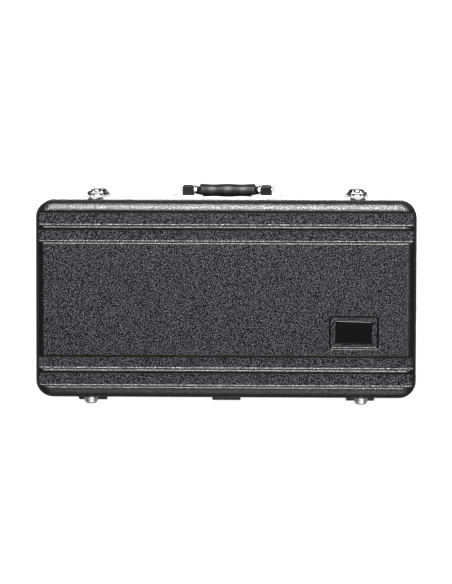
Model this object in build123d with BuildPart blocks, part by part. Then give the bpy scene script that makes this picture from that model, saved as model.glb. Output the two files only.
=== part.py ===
from build123d import *
import os
from math import atan2, cos, degrees, radians, sin, sqrt

os.makedirs("parts", exist_ok=True)

# A moulded ABS trumpet case, lying on its back with the lid uppermost.
# X runs along the case, -Y is the front with the latches and the handle, +Y is the rear with the hinges,
# and +Z is up through the lid. The origin is the centre of the base's outer face. Sizes are in millimetres.

# Shells
case_length = 540.0
case_width = 282.0
base_height = 90.0
lid_height = 65.0
parting_gap = 0.3
shell_wall = 3.2
plan_corner = 26.0
face_edge = 15.0
draft_lean = 2.6

# Channels pressed into both outer faces
channel_depth = 3.5
channel_wall_run = 3.2
channel_edge = 1.9
inner_channel_set_in = 51.85
inner_channel_floor = 14.7
outer_channel_set_in = 28.2
outer_channel_floor = 16.2

# Badge pocket and blank badge
pocket_end_distance = 90.0
pocket_channel_distance = 43.15
pocket_length = 64.8
pocket_width = 42.2
pocket_depth = 3.0
pocket_wall_run = 2.4
pocket_edge = 1.2
badge_length = 51.7
badge_width = 31.6
badge_thickness = 1.6
badge_turn = -1.7

# Aluminium valances round the rims
valance_proud = 2.0
valance_flange = 12.0
valance_lip = 1.2
valance_lip_depth = 6.0
valance_lip_gap = 0.5
base_rim = 5.0
lid_rim = 1.6
tongue_width = 1.6
tongue_height = 3.0
tongue_side_gap = 0.4
tongue_tip_gap = 0.5
tongue_rear_distance = 41.0

# Fits
running_gap = 0.05
free_gap = 0.3
seat_gap = 0.05

# Rivets
rivet_head_radius = 2.6
rivet_head_height = 1.3
rivet_shank_radius = 1.6
rivet_tail_radius = 2.6
rivet_tail_height = 1.0

# Hinges
hinge_end_distance = 78.5
hinge_width = 39.4
hinge_leaf_thickness = 1.0
hinge_leaf_height = 20.0
hinge_knuckle_radius = 2.4
hinge_pin_radius = 1.3
hinge_pin_head_radius = 1.9
hinge_pin_head_length = 0.8
hinge_leaf_edge = 0.3
hinge_rivet_pitch = 13.0
hinge_rivet_drop = 16.5

# Feet
foot_base_drop = 40.0
foot_lid_rise = 34.7
foot_seat_set_in = 0.8
foot_radius = 9.3
foot_height = 9.8
foot_tip_edge = 5.4
foot_flange_radius = 10.0
foot_flange_height = 1.0
foot_pad_radius = 11.5
foot_shank_radius = 2.5
foot_tail_radius = 4.5
foot_tail_height = 1.5

# Pads moulded on the walls under the fittings
pad_side_angle = 30.0
pad_root_depth = 6.0

# Latches
latch_end_distance = 84.2
latch_plate_width = 33.6
latch_plate_drop = 2.0
latch_plate_height = 42.0
latch_plate_thickness = 1.2
latch_plate_corner = 3.0
latch_sheet = 1.2
lever_pivot_out = 6.4
lever_pivot_drop = 10.0
lever_pin_radius = 1.5
lever_pin_head_radius = 2.4
lever_pin_head_length = 0.9
lever_spine_half = 4.6
lever_eye_radius = 4.3
lever_cover_out = 11.4
lever_top_rise = 4.4
lever_reach = 32.0
hood_top_drop = 14.6
hood_half_width = 16.2
hood_crown_half = 9.3
hood_low_out = 2.4
hood_end_out = 3.2
hood_corner = 2.6
finger_lip_half = 8.5
finger_lip_drop = 3.0
finger_lip_rise = 1.4
ear_radius = 4.1
ear_half_height = 4.6
link_back = 1.0
link_drop = 10.0
link_length = 27.05
link_wire_radius = 1.25
spring_spacing = 10.9
spring_radius = 3.4
spring_bore = 2.2
spring_eye_radius = 2.75
spring_eye_width = 1.4
spring_top_drop = 6.5
spring_plug_length = 5.0
link_pin_radius = 1.5
link_pin_end_gap = 0.8
latch_rivet_pitch = 10.0
latch_rivet_rise = 5.0
latch_rivet_row_pitch = 10.5

# Keepers on the lid
keeper_half_width = 10.5
keeper_foot_rise = 1.9
keeper_shoulder_rise = 13.7
keeper_tip_rise = 47.7
keeper_tip_half = 2.0
keeper_tongue_half = 2.5
keeper_tongue_reach = 6.2
keeper_rivet_pitch = 6.6
keeper_rivet_rise = 8.9

# Handle
handle_pivot_out = 11.0
handle_pivot_drop = 22.0
handle_drop = 28.0
handle_grip_set_back = 1.4
handle_plate_x = 56.0
handle_plate_length = 45.3
handle_plate_height = 26.0
handle_plate_thickness = 2.3
handle_plate_corner = 5.0
handle_plate_bevel = 1.0
handle_rivet_reach = 18.2
handle_block_width = 16.2
handle_block_height = 22.0
handle_block_out = 17.4
handle_block_chamfer = 2.6
handle_pin_radius = 2.2
handle_pin_head_radius = 3.5
handle_pin_head_length = 2.6
handle_pin_inner_head = 0.8
strap_thickness = 2.0
strap_width = 10.0
strap_eye_radius = 6.0
grip_length = 80.7
grip_crown_radius = 9.35
grip_waist_radius = 8.55
grip_end_radius = 9.25
grip_end_edge = 2.2
grip_collar_radius = 5.9

# Linings
lining_end_gap = 9.0
lining_side_gap = 10.0
lining_corner = 20.0
lining_face_edge = 9.0
base_lining_rim_drop = 4.0
lid_lining_rim_rise = 3.2
lid_lining_end_wall = 11.0
lid_lining_side_wall = 9.5
lid_cavity_corner = 16.0
lid_cavity_face_drop = 15.3
bay_corner = 8.0
bay_end_wall = 11.0

# Bays in the base lining for the trumpet and its accessories
bell_y = 30.0
bell_throat_x = 105.0
bell_throat_half = 24.0
bell_rim_half = 66.0
bell_floor_z = 12.0
body_low_x = -150.0
body_high_x = 125.0
body_low_y = -92.0
body_high_y = 50.0
body_floor_z = 40.0
valve_low_x = -48.0
valve_high_x = 52.0
valve_front_wall = 19.0
valve_rear_wall = 13.0
valve_floor_z = 34.0
leadpipe_half = 16.0
leadpipe_floor_z = 55.0
tray_low_x = 140.0
tray_front_wall = 11.0
tray_high_y = -48.0
tray_floor_z = 30.0
socket_end_wall = 42.0
socket_ys = (-38.0, -88.0)
socket_radius = 14.0
socket_floor_z = 16.0

# Accessory compartment with its hinged lid
box_end_wall = 21.0
box_valve_wall = 16.0
box_rear_wall = 25.0
box_inner_width = 34.0
box_floor_z = 30.0
box_ledge = 4.0
box_lid_thickness = 4.0
box_lid_gap = 0.5
box_rod_radius = 1.0
box_rod_end = 6.0
box_tab_width = 22.0
box_tab_length = 20.0
box_tab_thickness = 1.0

# Planes and places worked out from the sizes above
inner_channel_y = case_width / 2 - inner_channel_set_in
outer_channel_y = case_width / 2 - outer_channel_set_in
pocket_x = -(case_length / 2 - pocket_end_distance)
pocket_y = inner_channel_y - pocket_channel_distance
tongue_end_y = case_width / 2 - tongue_rear_distance
hinge_spacing = case_length / 2 - hinge_end_distance
foot_spacing = hinge_spacing
latch_spacing = case_length / 2 - latch_end_distance
lid_bottom_z = base_height + parting_gap
lid_top_z = lid_bottom_z + lid_height
hardware_y = case_width / 2 + valance_proud
base_flange_low_z = base_height - valance_flange
lid_flange_high_z = lid_bottom_z + valance_flange
base_shell_top_z = base_height - base_rim
lid_shell_low_z = lid_bottom_z + lid_rim
hinge_axis_y = hardware_y + hinge_knuckle_radius + free_gap
hinge_axis_z = base_height + parting_gap / 2
foot_seat_y = case_width / 2 - foot_seat_set_in
foot_base_z = base_height - foot_base_drop
foot_lid_z = lid_bottom_z + foot_lid_rise
latch_plate_high_z = base_height - latch_plate_drop
latch_plate_low_z = latch_plate_high_z - latch_plate_height
latch_rivet_low_z = latch_plate_low_z + latch_rivet_rise
latch_rivet_high_z = latch_rivet_low_z + latch_rivet_row_pitch
lever_pivot_z = base_height - lever_pivot_drop
lever_top_z = lever_pivot_z + lever_top_rise
lever_low_z = lever_pivot_z - lever_reach
hood_top_z = lever_pivot_z - hood_top_drop
keeper_low_z = lid_bottom_z + keeper_foot_rise
keeper_rivet_z = lid_bottom_z + keeper_rivet_rise
keeper_shoulder_z = lid_bottom_z + keeper_shoulder_rise
keeper_tip_z = lid_bottom_z + keeper_tip_rise
handle_pivot_z = base_height - handle_pivot_drop
base_lining_top_z = base_height - base_lining_rim_drop
lid_lining_low_z = lid_bottom_z + lid_lining_rim_rise
lid_cavity_top_z = lid_top_z - lid_cavity_face_drop
base_land_z = shell_wall + channel_depth
lid_land_z = lid_top_z - shell_wall - channel_depth
valance_inset = shell_wall + valance_lip_gap + valance_lip
lining_length = case_length - 2 * lining_end_gap
lining_width = case_width - 2 * lining_side_gap
lid_cavity_length = lining_length - 2 * lid_lining_end_wall
lid_cavity_width = lining_width - 2 * lid_lining_side_wall
bay_end_x = lining_length / 2 - bay_end_wall
valve_low_y = -(lining_width / 2 - valve_front_wall)
valve_high_y = lining_width / 2 - valve_rear_wall
tray_low_y = -(lining_width / 2 - tray_front_wall)
socket_x = -(lining_length / 2 - socket_end_wall) + socket_radius
box_low_x = -(lining_length / 2 - box_end_wall)
box_high_x = valve_low_x - box_valve_wall
box_high_y = lining_width / 2 - box_rear_wall
box_low_y = box_high_y - box_inner_width


def wall_plane(side, distance):
    """A plane parallel to the front (side -1) or rear (side +1) wall, its normal pointing outwards."""
    return Plane(origin=(0, side * distance, 0), x_dir=(-side, 0, 0), z_dir=(0, side, 0))


def base_wall_y(z):
    """Distance of the base's outer wall from the middle at height z."""
    return case_width / 2 - draft_lean * (base_height - z) / base_height


def lid_wall_y(z):
    """Distance of the lid's outer wall from the middle at height z."""
    return case_width / 2 - draft_lean * (z - lid_bottom_z) / lid_height


def outline(offset_out, mode=Mode.ADD):
    """The case's plan outline at the parting plane, moved outwards by offset_out."""
    RectangleRounded(
        case_length + 2 * offset_out,
        case_width + 2 * offset_out,
        plan_corner + offset_out,
        mode=mode,
    )


def rim_ring(low_z, high_z, outer, inner, rear_limit=case_width):
    """A ring that follows the case's outline between two offsets, as far back as rear_limit."""
    with BuildPart() as ring:
        with BuildSketch(Plane.XY.offset(low_z)):
            outline(outer)
            outline(inner, Mode.SUBTRACT)
        extrude(amount=high_z - low_z)
        split(bisect_by=Plane.XZ.offset(-rear_limit), keep=Keep.TOP)
    return ring.part


def tub_form(up, inset):
    """A shell's solid form: drafted walls from the parting plane to an outer face with a rounded edge."""
    height = (lid_height if up > 0 else base_height) - inset
    parting_z = lid_bottom_z if up > 0 else base_height
    lean = draft_lean * height / (height + inset)
    start = Plane(origin=(0, 0, parting_z), x_dir=(1, 0, 0), z_dir=(0, 0, up))
    with BuildPart() as form:
        with BuildSketch(start):
            outline(-inset)
        extrude(amount=height, taper=degrees(atan2(lean, height)))
        faces_by_height = form.faces().sort_by(Axis.Z)
        outer_face = faces_by_height[-1] if up > 0 else faces_by_height[0]
        fillet(outer_face.edges(), face_edge - inset)
    return form.part


def channel_cutter(up, side, extra):
    """The pair of channels along one side of an outer face; extra grows it into the land inside the shell."""
    face_z = lid_top_z - extra if up > 0 else extra
    floor_z = face_z - up * channel_depth
    spread = extra * channel_wall_run / channel_depth / 2
    inner_half = inner_channel_floor / 2 + spread
    outer_half = outer_channel_floor / 2 + spread
    low = inner_channel_y - inner_half
    high = outer_channel_y + outer_half
    points = [(low - 2 * channel_wall_run, face_z), (low - channel_wall_run, face_z), (low, floor_z)]
    if not extra:
        ridge_low = inner_channel_y + inner_half
        ridge_high = outer_channel_y - outer_half
        points += [(ridge_low, floor_z), (ridge_low + channel_wall_run, face_z)]
        points += [(ridge_high - channel_wall_run, face_z), (ridge_high, floor_z)]
    points += [(high, floor_z), (high + channel_wall_run, face_z), (high + 2 * channel_wall_run, face_z)]
    points = [(side * y, z) for y, z in points]
    above_z = face_z + up * channel_depth
    with BuildPart() as cutter:
        with BuildSketch(Plane.YZ):
            with BuildLine():
                path = FilletPolyline(*points, radius=channel_edge)
                Polyline(path @ 1, (points[-1][0], above_z), (points[0][0], above_z), path @ 0)
            make_face()
        extrude(amount=case_length, both=True)
    return cutter.part


def wall_pad(side, face_y, x_places, width, low_z, high_z):
    """Flat pads on a wall, with sloped sides, at each of x_places."""
    spread = 2 * pad_root_depth * sin(radians(pad_side_angle)) / cos(radians(pad_side_angle))
    with BuildPart() as pads:
        with BuildSketch(wall_plane(side, face_y - pad_root_depth)):
            with Locations(*[(-side * x, (low_z + high_z) / 2) for x in x_places]):
                RectangleRounded(width + spread, high_z - low_z + spread, 3 + spread / 2)
        extrude(amount=pad_root_depth, taper=pad_side_angle)
    return pads.part


def foot_pads(z):
    """Low round seats for the two feet of one shell."""
    with BuildPart() as pads:
        with BuildSketch(wall_plane(1, foot_seat_y - pad_root_depth)):
            with Locations((-foot_spacing, z), (foot_spacing, z)):
                Circle(foot_pad_radius)
        extrude(amount=pad_root_depth)
    return pads.part


def wall_holes(side, radius, places):
    """Round holes through a wall and all that lies on it, at (x, z) places."""
    with BuildPart() as holes:
        with BuildSketch(wall_plane(side, case_width / 2 - 4 * shell_wall)):
            with Locations(*[(-side * x, z) for x, z in places]):
                Circle(radius)
        extrude(amount=8 * shell_wall)
    return holes.part


def rivets(side, seat_y, inner_y, places):
    """Rivets with a domed head on seat_y, a shank through the wall and a clenched tail at inner_y."""
    spots = [(-side * x, z) for x, z in places]
    with BuildPart() as group:
        with BuildSketch(wall_plane(side, seat_y)):
            with Locations(*spots):
                Circle(rivet_head_radius)
        extrude(amount=rivet_head_height)
        crowns = group.edges().filter_by(GeomType.CIRCLE).group_by(Axis.Y)
        fillet(crowns[-1] if side > 0 else crowns[0], rivet_head_height * 0.8)
        with BuildSketch(wall_plane(side, inner_y)):
            with Locations(*spots):
                Circle(rivet_shank_radius)
        extrude(amount=seat_y - inner_y)
        with BuildSketch(wall_plane(side, inner_y - rivet_tail_height)):
            with Locations(*spots):
                Circle(rivet_tail_radius)
        extrude(amount=rivet_tail_height)
    return group.part


def both_ways(distance, middle=False):
    """The left and right places of a mirrored pair, with the middle one if there is one."""
    return [-distance, 0.0, distance] if middle else [-distance, distance]


# Where the rivets and foot shanks pass through the walls
hinge_xs = both_ways(hinge_spacing, middle=True)
hinge_rivet_xs = [x + step for x in hinge_xs for step in both_ways(hinge_rivet_pitch, middle=True)]
base_hinge_rivets = [(x, hinge_axis_z - hinge_rivet_drop) for x in hinge_rivet_xs]
lid_hinge_rivets = [(x, hinge_axis_z + hinge_rivet_drop) for x in hinge_rivet_xs]
latch_rivet_xs = [x + step for x in both_ways(latch_spacing) for step in both_ways(latch_rivet_pitch)]
latch_rivets_low = [(x, latch_rivet_low_z) for x in latch_rivet_xs]
latch_rivets_high = [(x, latch_rivet_high_z) for x in latch_rivet_xs]
keeper_rivet_xs = [x + step for x in both_ways(latch_spacing) for step in both_ways(keeper_rivet_pitch)]
keeper_rivets = [(x, keeper_rivet_z) for x in keeper_rivet_xs]
handle_rivet_xs = [x + step for x in both_ways(handle_plate_x) for step in both_ways(handle_rivet_reach)]
handle_rivets_at = [(x, handle_pivot_z) for x in handle_rivet_xs]
base_foot_shanks = [(x, foot_base_z) for x in both_ways(foot_spacing)]
lid_foot_shanks = [(x, foot_lid_z) for x in both_ways(foot_spacing)]

# Keeper wedge: the lid's wall is built out from the valance's face to the drafted wall above
keeper_lean_y = lid_wall_y(keeper_tip_z)


def keeper_wedges():
    """Wedges on the lid's front wall that carry the sloping part of each keeper."""
    root_y = case_width / 2 - 2 * shell_wall
    with BuildPart() as wedges:
        for x in both_ways(latch_spacing):
            with BuildSketch(Plane.YZ.offset(x)):
                with BuildLine():
                    Polyline(
                        (-hardware_y, lid_flange_high_z),
                        (-keeper_lean_y, keeper_tip_z),
                        (-root_y, keeper_tip_z),
                        (-root_y, lid_flange_high_z),
                        close=True,
                    )
                make_face()
            extrude(amount=keeper_half_width, both=True)
    return wedges.part


# Base shell: the moulded ABS tub with its channels, pads and rivet holes
base_form = tub_form(-1, 0)
base_cavity = tub_form(-1, shell_wall)
base_pads = [
    wall_pad(-1, hardware_y, both_ways(latch_spacing), latch_plate_width, latch_plate_low_z, base_height),
    wall_pad(
        -1,
        hardware_y,
        both_ways(handle_plate_x),
        handle_plate_length,
        handle_pivot_z - handle_plate_height / 2,
        base_height,
    ),
    wall_pad(1, hardware_y, hinge_xs, hinge_width, hinge_axis_z - hinge_leaf_height, base_height),
    foot_pads(foot_base_z),
]
base_holes = [
    wall_holes(1, rivet_shank_radius, base_hinge_rivets),
    wall_holes(-1, rivet_shank_radius, latch_rivets_low + latch_rivets_high + handle_rivets_at),
    wall_holes(1, foot_shank_radius, base_foot_shanks),
]
base_rim_clearance = rim_ring(base_flange_low_z, base_height + pad_root_depth, 2 * pad_root_depth, 0)
base_lands = [channel_cutter(-1, side, shell_wall) for side in (-1, 1)]
with BuildPart() as base_hollow:
    add(base_cavity)
    for land in base_lands:
        add(land, mode=Mode.SUBTRACT)

with BuildPart() as base_shell:
    add(base_form)
    for pad in base_pads:
        add(pad)
    for side in (-1, 1):
        add(channel_cutter(-1, side, 0), mode=Mode.SUBTRACT)
    add(base_rim_clearance, mode=Mode.SUBTRACT)
    add(base_hollow.part, mode=Mode.SUBTRACT)
    for hole in base_holes:
        add(hole, mode=Mode.SUBTRACT)
    split(bisect_by=Plane.XY.offset(base_shell_top_z), keep=Keep.BOTTOM)
base_shell.part.label = "base_shell"
export_step(base_shell.part, "parts/base_shell.step")

# Lid shell: the matching tub, with the badge pocket and the wedges for the keepers
lid_form = tub_form(1, 0)
lid_cavity = tub_form(1, shell_wall)
lid_pads = [
    wall_pad(1, hardware_y, hinge_xs, hinge_width, lid_bottom_z, hinge_axis_z + hinge_leaf_height),
    foot_pads(foot_lid_z),
    keeper_wedges(),
]
lid_holes = [
    wall_holes(1, rivet_shank_radius, lid_hinge_rivets),
    wall_holes(-1, rivet_shank_radius, keeper_rivets),
    wall_holes(1, foot_shank_radius, lid_foot_shanks),
]
lid_rim_clearance = rim_ring(lid_bottom_z - pad_root_depth, lid_flange_high_z, 2 * pad_root_depth, 0)
pocket_floor_z = lid_top_z - pocket_depth
pocket_angle = degrees(atan2(pocket_wall_run, pocket_depth))
with BuildPart() as pocket_cutter:
    with BuildSketch(Plane.XY.offset(lid_top_z)):
        with Locations((pocket_x, pocket_y)):
            RectangleRounded(
                pocket_length + 2 * pocket_wall_run,
                pocket_width + 2 * pocket_wall_run,
                2 * pocket_wall_run,
            )
    extrude(amount=-pocket_depth, taper=pocket_angle)
    fillet(pocket_cutter.edges().group_by(Axis.Z)[0], pocket_edge)

lid_lands = [channel_cutter(1, side, shell_wall) for side in (-1, 1)]
with BuildPart() as lid_hollow:
    add(lid_cavity)
    for land in lid_lands:
        add(land, mode=Mode.SUBTRACT)
    with BuildSketch(Plane.XY.offset(pocket_floor_z - shell_wall)):
        with Locations((pocket_x, pocket_y)):
            Rectangle(
                pocket_length + 2 * pocket_wall_run + 2 * shell_wall,
                pocket_width + 2 * pocket_wall_run + 2 * shell_wall,
            )
    extrude(amount=lid_height, mode=Mode.SUBTRACT)

with BuildPart() as lid_shell:
    add(lid_form)
    for pad in lid_pads:
        add(pad)
    for side in (-1, 1):
        add(channel_cutter(1, side, 0), mode=Mode.SUBTRACT)
    add(pocket_cutter.part, mode=Mode.SUBTRACT)
    mouth = lid_shell.edges().filter_by_position(Axis.Z, lid_top_z - pocket_edge, lid_top_z + pocket_edge)
    mouth = mouth.filter_by_position(Axis.X, pocket_x - pocket_length, pocket_x + pocket_length)
    mouth = mouth.filter_by_position(Axis.Y, pocket_y - pocket_width, pocket_y + pocket_width)
    fillet(mouth, pocket_edge)
    add(lid_rim_clearance, mode=Mode.SUBTRACT)
    add(lid_hollow.part, mode=Mode.SUBTRACT)
    for hole in lid_holes:
        add(hole, mode=Mode.SUBTRACT)
    split(bisect_by=Plane.XY.offset(lid_shell_low_z), keep=Keep.TOP)
lid_shell.part.label = "lid_shell"
export_step(lid_shell.part, "parts/lid_shell.step")

# Blank badge plate, lying in its pocket
with BuildPart() as badge_plate:
    with BuildSketch(Plane.XY.offset(pocket_floor_z)):
        with Locations(Location((pocket_x, pocket_y, 0), (0, 0, badge_turn))):
            RectangleRounded(badge_length, badge_width, badge_thickness)
    extrude(amount=badge_thickness)
    chamfer(badge_plate.faces().sort_by(Axis.Z)[-1].edges(), badge_thickness / 4)
badge_plate.part.label = "badge_plate"
export_step(badge_plate.part, "parts/badge_plate.step")

# Base valance: an aluminium channel round the rim, with the groove for the lid's tongue
rail_middle = (valance_proud - valance_inset) / 2
groove_half = tongue_width / 2 + tongue_side_gap
groove_low_z = lid_bottom_z - tongue_height - tongue_tip_gap
groove_end_y = tongue_end_y + tongue_side_gap
with BuildPart() as base_valance:
    add(rim_ring(base_flange_low_z, base_height, valance_proud, 0))
    add(rim_ring(base_shell_top_z, base_height, 0, -valance_inset))
    add(rim_ring(base_height - valance_lip_depth, base_height, valance_lip - valance_inset, -valance_inset))
    add(
        rim_ring(
            groove_low_z,
            lid_bottom_z,
            rail_middle + groove_half,
            rail_middle - groove_half,
            groove_end_y,
        ),
        mode=Mode.SUBTRACT,
    )
base_valance.part.label = "base_valance"
export_step(base_valance.part, "parts/base_valance.step")

# Lid valance: the same channel upside down, with the tongue along its front and sides
tongue_outer = rail_middle + tongue_width / 2
tongue_low_z = lid_bottom_z - tongue_height
with BuildPart() as lid_valance:
    add(rim_ring(lid_bottom_z, lid_flange_high_z, valance_proud, 0))
    add(rim_ring(lid_bottom_z, lid_shell_low_z, 0, -valance_inset))
    add(rim_ring(lid_bottom_z, lid_bottom_z + valance_lip_depth, valance_lip - valance_inset, -valance_inset))
    add(rim_ring(tongue_low_z, lid_bottom_z, tongue_outer, tongue_outer - tongue_width, tongue_end_y))
    add(wall_holes(-1, rivet_shank_radius, keeper_rivets), mode=Mode.SUBTRACT)
lid_valance.part.label = "lid_valance"
export_step(lid_valance.part, "parts/lid_valance.step")


# Hinges: three black steel butt hinges, each a base leaf, a lid leaf and a pin
knuckle_length = (hinge_width - 2 * free_gap) / 3
lid_knuckle_half = knuckle_length / 2
hinge_clear_half = lid_knuckle_half + free_gap


def hinge_leaf(x, up):
    """A leaf (up is -1 for the base's, +1 for the lid's) with its knuckles, riveted to the wall at x."""
    root_z = hinge_axis_z + up * hinge_leaf_edge
    far_z = hinge_axis_z + up * hinge_leaf_height
    rivet_z = hinge_axis_z + up * hinge_rivet_drop
    bore = hinge_pin_radius + (running_gap if up > 0 else 0)
    barrel = Plane(origin=(x, hinge_axis_y, hinge_axis_z), x_dir=(0, 1, 0), z_dir=(1, 0, 0))
    with BuildPart() as leaf:
        with BuildSketch(wall_plane(1, hardware_y)):
            with Locations((-x, (root_z + far_z) / 2)):
                Rectangle(hinge_width, abs(far_z - root_z))
        extrude(amount=hinge_leaf_thickness)
        far_edges = leaf.edges().filter_by(Axis.Y).group_by(Axis.Z)[-1 if up > 0 else 0]
        fillet(far_edges, hinge_leaf_thickness * 2)
        with BuildSketch(barrel):
            Circle(hinge_knuckle_radius)
        extrude(amount=hinge_width / 2, both=True)
        notch_height = 2 * (hinge_knuckle_radius + free_gap)
        notch_length = 2 * hinge_clear_half if up < 0 else knuckle_length + 2 * free_gap
        notch_xs = [0.0] if up < 0 else both_ways(hinge_clear_half - free_gap + notch_length / 2)
        with Locations(*[(x + notch_x, hinge_axis_y, hinge_axis_z) for notch_x in notch_xs]):
            Box(notch_length, notch_height, notch_height, mode=Mode.SUBTRACT)
        with BuildSketch(barrel):
            Circle(bore)
        extrude(amount=hinge_width, both=True, mode=Mode.SUBTRACT)
        with BuildSketch(wall_plane(1, case_width / 2)):
            with Locations(*[(-x - step, rivet_z) for step in both_ways(hinge_rivet_pitch, middle=True)]):
                Circle(rivet_shank_radius)
        extrude(amount=pad_root_depth, mode=Mode.SUBTRACT)
    return leaf.part


def hinge_pin(x):
    """A hinge pin with a flattened head at each end."""
    head_x = hinge_width / 2
    with BuildPart() as pin:
        barrel = Plane(origin=(x, hinge_axis_y, hinge_axis_z), x_dir=(0, 1, 0), z_dir=(1, 0, 0))
        with BuildSketch(barrel):
            Circle(hinge_pin_radius)
        extrude(amount=head_x, both=True)
        with BuildSketch(barrel.offset(head_x), barrel.offset(-head_x - hinge_pin_head_length)):
            Circle(hinge_pin_head_radius)
        extrude(amount=hinge_pin_head_length)
    return pin.part


for place, hinge_x in zip(("left", "middle", "right"), hinge_xs):
    base_leaf = hinge_leaf(hinge_x, -1)
    base_leaf.label = f"hinge_{place}_base_leaf"
    export_step(base_leaf, f"parts/hinge_{place}_base_leaf.step")
    lid_leaf = hinge_leaf(hinge_x, 1)
    lid_leaf.label = f"hinge_{place}_lid_leaf"
    export_step(lid_leaf, f"parts/hinge_{place}_lid_leaf.step")
    pin = hinge_pin(hinge_x)
    pin.label = f"hinge_{place}_pin"
    export_step(pin, f"parts/hinge_{place}_pin.step")

# Rivets that hold the leaves to the two shells
leaf_face_y = hardware_y + hinge_leaf_thickness


def base_inner_y(z, reach):
    """Where a flat face of half-height reach just clears the base's inner wall at height z."""
    return base_wall_y(z - reach) - shell_wall - seat_gap


def lid_inner_y(z, reach):
    """Where a flat face of half-height reach just clears the lid's inner wall at height z."""
    return lid_wall_y(z + reach) - shell_wall - seat_gap


base_hinge_inner_y = base_inner_y(base_hinge_rivets[0][1], rivet_tail_radius)
hinge_base_rivets = rivets(1, leaf_face_y, base_hinge_inner_y, base_hinge_rivets)
hinge_base_rivets.label = "hinge_base_rivets"
export_step(hinge_base_rivets, "parts/hinge_base_rivets.step")
lid_hinge_inner_y = lid_inner_y(lid_hinge_rivets[0][1], rivet_tail_radius)
hinge_lid_rivets = rivets(1, leaf_face_y, lid_hinge_inner_y, lid_hinge_rivets)
hinge_lid_rivets.label = "hinge_lid_rivets"
export_step(hinge_lid_rivets, "parts/hinge_lid_rivets.step")


# Feet: chromed domes on the rear wall, each with a shank clenched inside the shell
def foot(x, z, inner_y):
    """A domed foot standing out from the rear wall."""
    with BuildPart() as dome:
        with BuildSketch(wall_plane(1, foot_seat_y)):
            with Locations((-x, z)):
                Circle(foot_radius)
        extrude(amount=foot_height)
        fillet(dome.faces().sort_by(Axis.Y)[-1].edges(), foot_tip_edge)
        with BuildSketch(wall_plane(1, foot_seat_y)):
            with Locations((-x, z)):
                Circle(foot_flange_radius)
        extrude(amount=foot_flange_height)
        with BuildSketch(wall_plane(1, inner_y)):
            with Locations((-x, z)):
                Circle(foot_shank_radius)
        extrude(amount=foot_seat_y - inner_y)
        with BuildSketch(wall_plane(1, inner_y - foot_tail_height)):
            with Locations((-x, z)):
                Circle(foot_tail_radius)
        extrude(amount=foot_tail_height)
    return dome.part


foot_rows = (
    ("base", foot_base_z, base_inner_y(foot_base_z, foot_tail_radius)),
    ("lid", foot_lid_z, lid_inner_y(foot_lid_z, foot_tail_radius)),
)
for row, foot_z, inner_y in foot_rows:
    for place, foot_x in zip(("left", "right"), both_ways(foot_spacing)):
        one_foot = foot(foot_x, foot_z, inner_y)
        one_foot.label = f"foot_{row}_{place}"
        export_step(one_foot, f"parts/foot_{row}_{place}.step")

# Latches: a toggle lever on a riveted plate pulls a spring-loaded bar down over the lid's keeper.
# Profiles across a latch are drawn in (out, z), out being the distance from the plane of the fittings.
pivot = (lever_pivot_out, lever_pivot_z)
link_low = (lever_pivot_out - link_back, lever_pivot_z - link_drop)
link_high = (link_low[0], link_low[1] + link_length)
link_radius = sqrt(link_back**2 + link_drop**2)
cover_in = lever_cover_out - latch_sheet


def side_plane(x):
    """The plane across the front wall at x, drawn in (out, z)."""
    return Plane(origin=(x, -hardware_y, 0), x_dir=(0, -1, 0), z_dir=(-1, 0, 0))


def cross_pin(x, centre, radius, half_length, head_radius=0.0, head_length=0.0):
    """A pin along X through the point centre, given in (out, z), with a head at each end if asked."""
    with BuildPart() as pin:
        with BuildSketch(side_plane(x)):
            with Locations(centre):
                Circle(radius)
        extrude(amount=half_length, both=True)
        if head_length:
            with BuildSketch(side_plane(x + half_length + head_length), side_plane(x - half_length)):
                with Locations(centre):
                    Circle(head_radius)
            extrude(amount=head_length)
    return pin.part


def latch_plate(x):
    """The riveted plate with the two ears that hold the lever's pivot."""
    middle_z = (latch_plate_low_z + latch_plate_high_z) / 2
    ear_in = lever_spine_half + free_gap
    with BuildPart() as plate:
        with BuildSketch(wall_plane(-1, hardware_y)):
            with Locations((x, middle_z)):
                RectangleRounded(
                    latch_plate_width,
                    latch_plate_high_z - latch_plate_low_z,
                    latch_plate_corner,
                )
        extrude(amount=latch_plate_thickness)
        with BuildSketch(side_plane(x - ear_in), side_plane(x + ear_in + latch_sheet)):
            with BuildLine():
                Polyline(
                    (0, lever_pivot_z - ear_half_height),
                    (lever_pivot_out, lever_pivot_z - ear_radius),
                    (lever_pivot_out, lever_pivot_z + ear_radius),
                    (0, lever_pivot_z + ear_half_height),
                    close=True,
                )
            make_face()
            with Locations(pivot):
                Circle(ear_radius)
        extrude(amount=latch_sheet)
        with BuildSketch(side_plane(x)):
            with Locations(pivot):
                Circle(lever_pin_radius)
        extrude(amount=latch_plate_width, both=True, mode=Mode.SUBTRACT)
        rivet_zs = (latch_rivet_low_z, latch_rivet_high_z)
        spots = [(x + step, z) for step in both_ways(latch_rivet_pitch) for z in rivet_zs]
        with BuildSketch(wall_plane(-1, case_width / 2)):
            with Locations(*spots):
                Circle(rivet_shank_radius)
        extrude(amount=pad_root_depth, mode=Mode.SUBTRACT)
    return plate.part


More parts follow.
